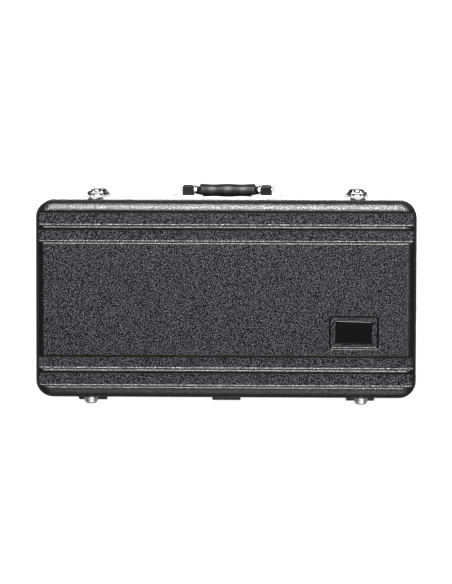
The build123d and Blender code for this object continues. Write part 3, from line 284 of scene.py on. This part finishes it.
# Badge: a blank plate of gloss black plastic, glued in the lid's recess with its edges eased.
def make_piece(name, points):
    """A closed mesh from grids of points shaped (grids, rows, columns, 3) in mm, each row closed on itself."""
    points = np.asarray(points, float).reshape((-1,) + np.shape(points)[-3:])
    number = np.arange(points[..., 0].size).reshape(points.shape[:3])
    number = np.concatenate([number, number[:, :, :1]], axis=2)
    corners = [number[:, :-1, :-1], number[:, :-1, 1:], number[:, 1:, 1:], number[:, 1:, :-1]]
    quads = np.stack(corners, -1).reshape(-1, 4)
    mesh = bpy.data.meshes.new(name)
    mesh.from_pydata((points.reshape(-1, 3) / 1000).tolist(), [], quads.tolist())
    shape = bmesh.new()
    shape.from_mesh(mesh)
    bmesh.ops.remove_doubles(shape, verts=shape.verts, dist=1e-6)
    bmesh.ops.recalc_face_normals(shape, faces=shape.faces)
    shape.to_mesh(mesh)
    shape.free()
    mesh.shade_smooth()
    obj = bpy.data.objects.new(name, mesh)
    bpy.context.scene.collection.objects.link(obj)
    return obj


def fit_piece(obj, body, slot, material, *replaced):
    """Gives a piece its material, the body it moves with, and the CAD nodes it stands for. The slot argument
    is not used.
    """
    obj.data.materials.clear()
    obj.data.materials.append(material)
    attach(obj, body)
    if replaced:
        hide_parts(*replaced)
    return obj


def rounded_outline(half_length, half_width, radius, steps):
    """Points round a rectangle with quarter-circle corners: corner's centre + radius * (cos t, sin t)."""
    angles = np.linspace(0, pi / 2, steps)
    quarters = []
    for turn_at, side_x, side_y in ((0, 1, 1), (1, -1, 1), (2, -1, -1), (3, 1, -1)):
        t = angles + turn_at * pi / 2
        middle = np.array([side_x * (half_length - radius), side_y * (half_width - radius)])
        quarters.append(middle + radius * np.stack([np.cos(t), np.sin(t)], -1))
    return np.concatenate(quarters)


badge_low, badge_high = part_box("badge_plate")
badge_turn = radians(-1.7)
badge_middle = 500 * np.array(badge_low + badge_high)
badge_half_length = 25.85
badge_half_width = 15.8
badge_corner = 2.0
# How far in from the edge, and how high, each ring of the eased edge lies
badge_edges = [(0.0, 0.0), (0.0, 0.9), (0.08, 1.2), (0.25, 1.42), (0.55, 1.54), (1.0, 1.58), (4.0, 1.6)]
rows = []
for inset, height in badge_edges:
    corner = max(badge_corner - inset, 0.4)
    ring = rounded_outline(badge_half_length - inset, badge_half_width - inset, corner, 8)
    rows.append(np.column_stack([ring, np.full(len(ring), height)]))
rows = [rows[0] * 0] + rows + [rows[-1] * (0, 0, 1)]
flat_badge = np.array(rows)
cosine, sine = np.cos(badge_turn), np.sin(badge_turn)
spin = np.array([[cosine, -sine], [sine, cosine]])
flat_badge[..., :2] = flat_badge[..., :2] @ spin.T
badge = make_piece("badge_blank", flat_badge + [badge_middle[0], badge_middle[1], badge_low.z * 1000])
badge_plastic, tree, output = make_material("badge_plastic")
here = add_node(tree, "TexCoord")
worn = use_group(tree, handling, {"Vector": here.outputs["Object"], "Size": 0.008})
roughness = add_node(tree, "MapRange", {0: worn.outputs["Smudge"], 3: 0.06, 4: 0.12})
relief = add_node(tree, "Bump", {"Height": worn.outputs["Ripple"], "Strength": 0.03, "Distance": 0.0003})
gloss = add_node(
    tree,
    "BsdfPrincipled",
    {
        "Base Color": (0.002, 0.002, 0.0025, 1),
        "Specular IOR Level": 0.3,
        "Roughness": roughness.outputs[0],
        "Normal": relief.outputs[0],
    },
)
tree.links.new(gloss.outputs[0], output.inputs["Surface"])
fit_piece(badge, "lid", "badge_plastic", badge_plastic, "badge_plate")


# Rivets: steel, set through fitting, valance and shell, each with a domed head outside and a clenched
# tail inside. Those of the hinges are under the hinges' black coat.
def turned(profile, centres, axis, steps):
    """Turns a profile of (radius, height) about an axis through each centre:
    point = centre + height * axis + radius * (cos t * u + sin t * v), u and v being square to the axis."""
    profile = np.array(profile, float)
    axis = np.array(axis, float)
    u = np.roll(axis, 1)
    v = np.cross(axis, u)
    t = np.linspace(0, 2 * pi, steps, endpoint=False)
    ring = np.cos(t)[:, None] * u + np.sin(t)[:, None] * v
    one = profile[:, 1, None, None] * axis + profile[:, 0, None, None] * ring
    return np.reshape(centres, (-1, 1, 1, 3)) + one


def metal_finish(name, tone, smooth, rough, ripple):
    """A metal material whose roughness drifts from smooth to rough with handling, over a slight ripple."""
    material, tree, output = make_material(name)
    here = add_node(tree, "TexCoord")
    worn = use_group(tree, handling, {"Vector": here.outputs["Object"], "Size": 0.006})
    roughness = add_node(tree, "MapRange", {0: worn.outputs["Smudge"], 3: smooth, 4: rough})
    relief = add_node(tree, "Bump", {"Height": worn.outputs["Ripple"], "Strength": ripple, "Distance": 0.0002})
    metal = add_node(
        tree,
        "BsdfPrincipled",
        {
            "Base Color": (*tone, 1),
            "Metallic": 1.0,
            "Roughness": roughness.outputs[0],
            "Normal": relief.outputs[0],
        },
    )
    tree.links.new(metal.outputs[0], output.inputs["Surface"])
    return material


satin_tone = (0.88, 0.88, 0.89)
chrome_fittings = metal_finish("chrome_fittings", (0.5, 0.5, 0.52), 0.05, 0.12, 0.1)
satin_chrome = metal_finish("satin_chrome", satin_tone, 0.36, 0.46, 0.1)
steel_pins = metal_finish("steel_pins", (0.5, 0.5, 0.52), 0.2, 0.35, 0.1)
hinge_black, tree, output = make_material("hinge_black_steel")
here = add_node(tree, "TexCoord")
worn = use_group(tree, handling, {"Vector": here.outputs["Object"], "Size": 0.009})
peel = use_group(tree, pebble_grain, {"Vector": here.outputs["Object"], "Cell": 0.0007})
roughness = add_node(tree, "MapRange", {0: worn.outputs["Smudge"], 3: 0.34, 4: 0.5})
relief = add_node(tree, "Bump", {"Height": peel.outputs["Height"], "Strength": 0.2, "Distance": 0.00015})
coat = add_node(
    tree,
    "BsdfPrincipled",
    {"Base Color": (0.01, 0.01, 0.011, 1), "Roughness": roughness.outputs[0], "Normal": relief.outputs[0]},
)
tree.links.new(coat.outputs[0], output.inputs["Surface"])
hinge_spots = [(x + step, 73.65) for x in (-191.5, 0, 191.5) for step in (-13, 0, 13)]
lid_hinge_spots = [(x, 106.65) for x, z in hinge_spots]
latch_spots = [(x + step, z) for x in (-185.8, 185.8) for step in (-10, 10) for z in (51.0, 61.5)]
keeper_spots = [(x + step, 99.2) for x in (-185.8, 185.8) for step in (-6.6, 6.6)]
handle_spots = [(x + step, 68.0) for x in (-56, 56) for step in (-18.2, 18.2)]
# CAD node, body, places in (x, z), and 1 for the rear wall or -1 for the front
rivet_groups = [
    ("hinge_base_rivets", "base", hinge_spots, 1),
    ("hinge_lid_rivets", "lid", lid_hinge_spots, 1),
    ("latch_rivets", "base", latch_spots, -1),
    ("keeper_rivets", "lid", keeper_spots, -1),
    ("handle_rivets", "base", handle_spots, -1),
]
for node, body, spots, side in rivet_groups:
    low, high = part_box(node)
    reach = (high.y - low.y) * 1000
    head_y = (high.y if side > 0 else low.y) * 1000
    profile = [
        (0, 0),
        (1.0, -0.08),
        (1.8, -0.35),
        (2.35, -0.75),
        (2.6, -1.15),
        (2.6, -1.3),
        (1.6, -1.3),
        (1.6, 1.0 - reach),
        (2.6, 1.0 - reach),
        (2.6, 0.2 - reach),
        (2.3, -reach),
        (0, -reach),
    ]
    centres = [(x, head_y, z) for x, z in spots]
    heads = make_piece(node + "_set", turned(profile, centres, (0, side, 0), 28))
    finish = hinge_black if side > 0 else chrome_fittings
    fit_piece(heads, body, "steel_pins", finish, node)


# Hinges: three butt hinges of pressed steel under black powder coat, riveted through the valances. The
# pins are plain steel with their ends peened over.
def softened(node, width, name):
    """A copy of a CAD node with its flat faces made whole and its corners rounded off by width."""
    mesh = nodes[node].data.copy()
    shape = bmesh.new()
    shape.from_mesh(mesh)
    bmesh.ops.remove_doubles(shape, verts=shape.verts, dist=2e-6)
    bmesh.ops.dissolve_limit(
        shape, angle_limit=radians(1.0), verts=shape.verts, edges=shape.edges, use_dissolve_boundaries=False
    )
    shape.to_mesh(mesh)
    shape.free()
    for shading in ("custom_normal", "sharp_edge"):
        if shading in mesh.attributes:
            mesh.attributes.remove(mesh.attributes[shading])
    mesh.shade_smooth()
    obj = bpy.data.objects.new(name, mesh)
    bpy.context.scene.collection.objects.link(obj)
    bevel = obj.modifiers.new("softened", "BEVEL")
    bevel.width = width / 1000
    bevel.segments = 2
    bevel.limit_method = "ANGLE"
    bevel.angle_limit = radians(28)
    bevel.harden_normals = True
    return obj


for place in ("left", "middle", "right"):
    for body in ("base", "lid"):
        node = f"hinge_{place}_{body}_leaf"
        fit_piece(softened(node, 0.22, node + "_pressed"), body, "hinge_black_steel", hinge_black, node)
    dress(steel_pins, f"hinge_{place}_pin")


# Feet: chromed domes on the rear wall that the case stands on, each drawn with a flange and a shank
# that is clenched inside the shell.
crown_rim = 3.9
crown_bend = 5.4
for body in ("base", "lid"):
    for place in ("left", "right"):
        node = f"foot_{body}_{place}"
        low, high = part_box(node)
        tip = high.y * 1000
        length = (high.y - low.y) * 1000
        bend = np.linspace(0, pi / 2, 9)
        crown = np.stack([crown_rim + crown_bend * np.sin(bend), -crown_bend * (1 - np.cos(bend))], -1)
        crown[:, 1] -= 0.2
        flange = [
            (9.3, -8.3),
            (9.5, -8.7),
            (9.85, -8.9),
            (10.0, -9.15),
            (10.0, -9.8),
            (2.5, -9.8),
            (2.5, 1.5 - length),
            (4.5, 1.5 - length),
            (4.5, 0.3 - length),
            (4.2, -length),
            (0, -length),
        ]
        profile = np.concatenate([[(0, 0), (2.2, -0.05)], crown, flange])
        middle = ((low.x + high.x) * 500, tip, (low.z + high.z) * 500)
        dome = make_piece(node + "_dome", turned(profile, middle, (0, 1, 0), 56))
        fit_piece(dome, body, "chrome_fittings", satin_chrome, node)


# Latches: on each, a riveted plate with two ears carries the lever. The lever's pin draws down a wire
# bar through two coil springs, and the bar hooks over the keeper on the lid. The springs, the bar and
# its pin are dark spring steel, the rest is chromed.
def carried(path, section, upright):
    """Carries a closed section along a path: point = path + a * side + b * lift, where side is square to the
    path and to upright, and lift to both. The ends are closed at the path's own ends."""
    path = np.array(path, float)
    ahead = np.gradient(path, axis=-2)
    ahead /= np.linalg.norm(ahead, axis=-1, keepdims=True)
    side = np.cross(ahead, upright)
    side /= np.linalg.norm(side, axis=-1, keepdims=True)
    lift = np.cross(side, ahead)
    a, b = np.array(section, float).T
    rows = path[..., None, :] + a[:, None] * side[..., None, :] + b[:, None] * lift[..., None, :]
    first, last = (np.repeat(path[i : i + 1, None], len(a), axis=1) for i in (0, len(path) - 1))
    return np.concatenate([first, rows, last])


def circle_section(radius, steps):
    """A circle of that radius as (a, b) points."""
    t = np.linspace(0, 2 * pi, steps, endpoint=False)
    return radius * np.stack([np.cos(t), np.sin(t)], -1)


spring_steel = metal_finish("spring_steel", (0.08, 0.08, 0.085), 0.12, 0.25, 0.05)
latch_chrome, tree, output = make_material("latch_chrome")
here = add_node(tree, "TexCoord")
facing = add_node(tree, "SeparateXYZ", {0: here.outputs["Normal"]})
place = add_node(tree, "SeparateXYZ", {0: here.outputs["Object"]})
worn = use_group(tree, handling, {"Vector": here.outputs["Object"], "Size": 0.006})
# The plating's colour is painted light and shade by which way each face turns: faces towards the case, and the
# upward faces of the closed low end under hood_end_z, are painted dark as shade inside the pressing, and are
# rougher; faces to the front are a light satin, all others a darker chrome, a painted split of light and shade
hood_end_z = 0.052
inside = add_node(tree, "MapRange", {0: facing.outputs[1], 1: 0.2, 2: 0.4})
upward = add_node(tree, "Math", {0: facing.outputs[2], 1: 0.7}, operation="GREATER_THAN")
near_end = add_node(tree, "Math", {0: place.outputs[2], 1: hood_end_z}, operation="LESS_THAN")
end_face = add_node(tree, "Math", {0: upward.outputs[0], 1: near_end.outputs[0]}, operation="MULTIPLY")
dull = add_node(tree, "Math", {0: inside.outputs[0], 1: end_face.outputs[0]}, operation="MAXIMUM")
# Painted shade: where dull is 1 the colour drops to near-black
colour = add_node(
    tree, "Mix", {0: dull.outputs[0], 6: (0.16, 0.16, 0.17, 1), 7: (0.03, 0.03, 0.032, 1)}, data_type="RGBA"
)
# Painted light: faces to the front take the light satin tone, the others keep the darker painted tone
front = add_node(tree, "MapRange", {0: facing.outputs[1], 1: -0.8, 2: -0.95})
plating_with_painted_shade = add_node(
    tree, "Mix", {0: front.outputs[0], 6: colour.outputs[2], 7: (*satin_tone, 1)}, data_type="RGBA"
)
matt = add_node(tree, "Math", {0: dull.outputs[0], 1: front.outputs[0]}, operation="MAXIMUM")
polish = add_node(tree, "MapRange", {0: worn.outputs["Smudge"], 3: 0.05, 4: 0.12})
roughness = add_node(
    tree, "Math", {0: matt.outputs[0], 1: 0.36, 2: polish.outputs[0]}, operation="MULTIPLY_ADD"
)
plating = add_node(
    tree,
    "BsdfPrincipled",
    {"Base Color": plating_with_painted_shade.outputs[2], "Metallic": 1.0, "Roughness": roughness.outputs[0]},
)
tree.links.new(plating.outputs[0], output.inputs["Surface"])
for place, latch_x in (("left", -185.8), ("right", 185.8)):
    for part, body, width in (
        ("plate", "base", 0.25),
        ("lever", f"latch_{place}_lever", 0.3),
        ("keeper", "lid", 0.25),
    ):
        node = f"latch_{place}_{part}"
        fit_piece(softened(node, width, node + "_pressed"), body, "chrome_fittings", latch_chrome, node)
    dress(spring_steel, f"latch_{place}_pull_bar", f"latch_{place}_link_pin")
    dress(latch_chrome, f"latch_{place}_pivot_pin")

    # The coils are wound closest in the middle and most open at both ends
    turns = 10.5
    spring_foot = 72.3
    spring_length = 17.2
    spring_offset = 10.9
    spring_y = -148.4
    coil_radius = 2.85
    wire_radius = 0.5
    along = np.linspace(0, 1, 420)
    rise = spring_foot + spring_length * (along + 0.35 * np.sin(2 * pi * along) / (2 * pi))
    angle = 2 * pi * turns * along
    coils = []
    for side in (-1, 1):
        out = np.stack([np.cos(angle), side * np.sin(angle), 0 * angle], -1)
        middle = np.stack([0 * rise + latch_x + side * spring_offset, 0 * rise + spring_y, rise], -1)
        coils.append(carried(middle + coil_radius * out, circle_section(wire_radius, 8), out))
    springs = make_piece(f"latch_{place}_coils", np.array(coils))
    fit_piece(springs, f"latch_{place}_link", "spring_steel", spring_steel, f"latch_{place}_springs")


# Handle: two satin-chromed plates with black nylon blocks are riveted to the front. A strap of dark
# steel swings on their pins and passes through a moulded grip.
block_nylon, tree, output = make_material("block_nylon")
here = add_node(tree, "TexCoord")
grain = use_group(tree, pebble_grain, {"Vector": here.outputs["Object"], "Cell": 0.0009})
worn = use_group(tree, handling, {"Vector": here.outputs["Object"], "Size": 0.007})
roughness = add_node(tree, "MapRange", {0: worn.outputs["Smudge"], 3: 0.16, 4: 0.26})
relief = add_node(tree, "Bump", {"Height": grain.outputs["Height"], "Strength": 0.2, "Distance": 0.0002})
nylon = add_node(
    tree,
    "BsdfPrincipled",
    {
        "Base Color": (0.004, 0.004, 0.004, 1),
        "Specular IOR Level": 0.2,
        "Roughness": roughness.outputs[0],
        "Normal": relief.outputs[0],
    },
)
tree.links.new(nylon.outputs[0], output.inputs["Surface"])

grip_plastic, tree, output = make_material("grip_plastic")
here = add_node(tree, "TexCoord")
grain = use_group(tree, pebble_grain, {"Vector": here.outputs["Object"], "Cell": 0.0012})
colour = add_node(
    tree,
    "Mix",
    {0: grain.outputs["Crest"], 6: (0.003, 0.003, 0.003, 1), 7: (0.014, 0.014, 0.014, 1)},
    data_type="RGBA",
)
relief = add_node(tree, "Bump", {"Height": grain.outputs["Height"], "Strength": 0.35, "Distance": 0.0003})
# The grip is rubbed shinier where the fingers close on it, at this spacing
finger_spacing = 0.0225
along = add_node(tree, "SeparateXYZ", {0: here.outputs["Object"]})
phase = add_node(tree, "Math", {0: along.outputs[0], 1: 2 * pi / finger_spacing}, operation="MULTIPLY")
rubbed = add_node(tree, "Math", {0: phase.outputs[0]}, operation="COSINE")
shine = add_node(tree, "MapRange", {0: rubbed.outputs[0], 1: -0.4, 2: 1.0, 3: 0.1, 4: 0.28})
rubber = add_node(
    tree,
    "BsdfPrincipled",
    {
        "Base Color": colour.outputs[2],
        "Specular IOR Level": shine.outputs[0],
        "Roughness": 0.36,
        "Normal": relief.outputs[0],
    },
)
tree.links.new(rubber.outputs[0], output.inputs["Surface"])

for place in ("left", "right"):
    node = f"handle_{place}_plate"
    fit_piece(softened(node, 0.3, node + "_pressed"), "base", "chrome_fittings", satin_chrome, node)
    node = f"handle_{place}_block"
    fit_piece(softened(node, 0.5, node + "_moulded"), "base", "block_nylon", block_nylon, node)
    dress(chrome_fittings, f"handle_{place}_pin")
strap_steel = metal_finish("strap_steel", (0.12, 0.12, 0.125), 0.12, 0.24, 0.1)
strap = softened("handle_strap", 0.35, "handle_strap_formed")
fit_piece(strap, "handle", "chrome_fittings", strap_steel, "handle_strap")

# The grip swells in the middle and at both ends: radius = 8.95 + 0.4 * cos(2 pi x / 40)
low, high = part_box("handle_grip")
grip_y = (low.y + high.y) * 500
grip_z = (low.z + high.z) * 500
barrel_half = 38.2
barrel_rim = 7.15
barrel_bend = 2.15
reach = np.linspace(-barrel_half, barrel_half, 61)
swell = 8.95 + 0.4 * np.cos(2 * pi * reach / 40)
bend = np.linspace(0, pi / 2, 7)[:-1]
near_end = np.stack(
    [barrel_rim + barrel_bend * np.sin(bend), -barrel_half - barrel_bend * np.cos(bend)], -1
)
far_end = near_end[::-1] * (1, -1)
profile = np.concatenate(
    [
        [(0, -45.6), (5.5, -45.6), (5.9, -45.2), (5.9, -40.8), (6.3, -40.35)],
        near_end,
        np.stack([swell, reach], -1),
        far_end,
        [(6.3, 40.35), (5.9, 40.8), (5.9, 45.2), (5.5, 45.6), (0, 45.6)],
    ]
)
grip = make_piece("handle_grip_moulded", turned(profile, (0, grip_y, grip_z), (1, 0, 0), 72))
fit_piece(grip, "handle", "grip_plastic", grip_plastic, "handle_grip")


# Linings: blocks of foam under glued-down black plush. The plush rounds every edge of the bays, and its short
# pile is painted lighter in patches where it has been brushed one way, a painted sheen.
nap, given, gives = make_group("nap", [("Vector", "Vector")], [("Height", "Float"), ("Sheen", "Float")])
tufts = add_node(nap, "TexNoise", {"Vector": given["Vector"], "Scale": 1300.0, "Detail": 3.0})
brushed = add_node(
    nap, "TexNoise", {"Vector": given["Vector"], "Scale": 16.0, "Detail": 5.0, "Distortion": 0.9}
)
# The brushed patches, given out as Sheen, are a painted sheen on the plush's colour
painted_sheen = add_node(nap, "MapRange", {0: brushed.outputs[0], 1: 0.35, 2: 0.75})
nap.links.new(tufts.outputs[0], gives["Height"])
nap.links.new(painted_sheen.outputs[0], gives["Sheen"])

lining_plush, tree, output = make_material("lining_plush")
here = add_node(tree, "TexCoord")
pile = use_group(tree, nap, {"Vector": here.outputs["Object"]})
# Painted sheen: the plush is coloured lighter in the brushed patches
colour = add_node(
    tree,
    "Mix",
    {0: pile.outputs["Sheen"], 6: (0.005, 0.005, 0.006, 1), 7: (0.012, 0.012, 0.014, 1)},
    data_type="RGBA",
)
relief = add_node(tree, "Bump", {"Height": pile.outputs["Height"], "Strength": 0.7, "Distance": 0.0008})
plush = add_node(
    tree,
    "BsdfPrincipled",
    {
        "Base Color": colour.outputs[2],
        "Roughness": 0.95,
        "Sheen Weight": 0.22,
        "Sheen Roughness": 0.4,
        "Sheen Tint": (0.5, 0.5, 0.55, 1),
        "Normal": relief.outputs[0],
    },
)
tree.links.new(plush.outputs[0], output.inputs["Surface"])


def upholstered(node, name, voxel, rounds):
    """A foam block from a CAD node: remeshed in even cells, its corners eased by smoothing."""
    mesh = nodes[node].data.copy()
    shape = bmesh.new()
    shape.from_mesh(mesh)
    bmesh.ops.remove_doubles(shape, verts=shape.verts, dist=2e-6)
    shape.to_mesh(mesh)
    shape.free()
    obj = bpy.data.objects.new(name, mesh)
    bpy.context.scene.collection.objects.link(obj)
    cells = obj.modifiers.new("cells", "REMESH")
    cells.mode = "VOXEL"
    cells.voxel_size = voxel / 1000
    ease = obj.modifiers.new("ease", "SMOOTH")
    ease.factor = 0.5
    ease.iterations = rounds
    made = bpy.data.meshes.new_from_object(obj.evaluated_get(bpy.context.evaluated_depsgraph_get()))
    obj.modifiers.clear()
    obj.data = made
    made.shade_smooth()
    return obj


for body in ("base", "lid"):
    pad = upholstered(f"{body}_lining", f"{body}_lining_plush", 2.6, 4)
    fit_piece(pad, body, "lining_plush", lining_plush, f"{body}_lining")


# Accessory lid: a thin board wrapped in the same plush, hung on a steel rod through its back edge and
# lifted by a loop of woven ribbon.
board = upholstered("accessory_lid", "accessory_lid_plush", 0.9, 3)
fit_piece(board, "accessory_lid", "lining_plush", lining_plush, "accessory_lid")
dress(steel_pins, "accessory_hinge_rod")

pull_ribbon, tree, output = make_material("pull_ribbon")
here = add_node(tree, "TexCoord")
ribs = add_node(
    tree, "TexWave", {"Vector": here.outputs["Object"], "Scale": 260.0}, wave_type="BANDS", bands_direction="X"
)
colour = add_node(
    tree, "Mix", {0: ribs.outputs[1], 6: (0.01, 0.01, 0.012, 1), 7: (0.03, 0.03, 0.034, 1)}, data_type="RGBA"
)
relief = add_node(tree, "Bump", {"Height": ribs.outputs[1], "Strength": 0.5, "Distance": 0.0002})
weave = add_node(
    tree, "BsdfPrincipled", {"Base Color": colour.outputs[2], "Roughness": 0.6, "Normal": relief.outputs[0]}
)
tree.links.new(weave.outputs[0], output.inputs["Surface"])
dress(pull_ribbon, "accessory_pull_loop")
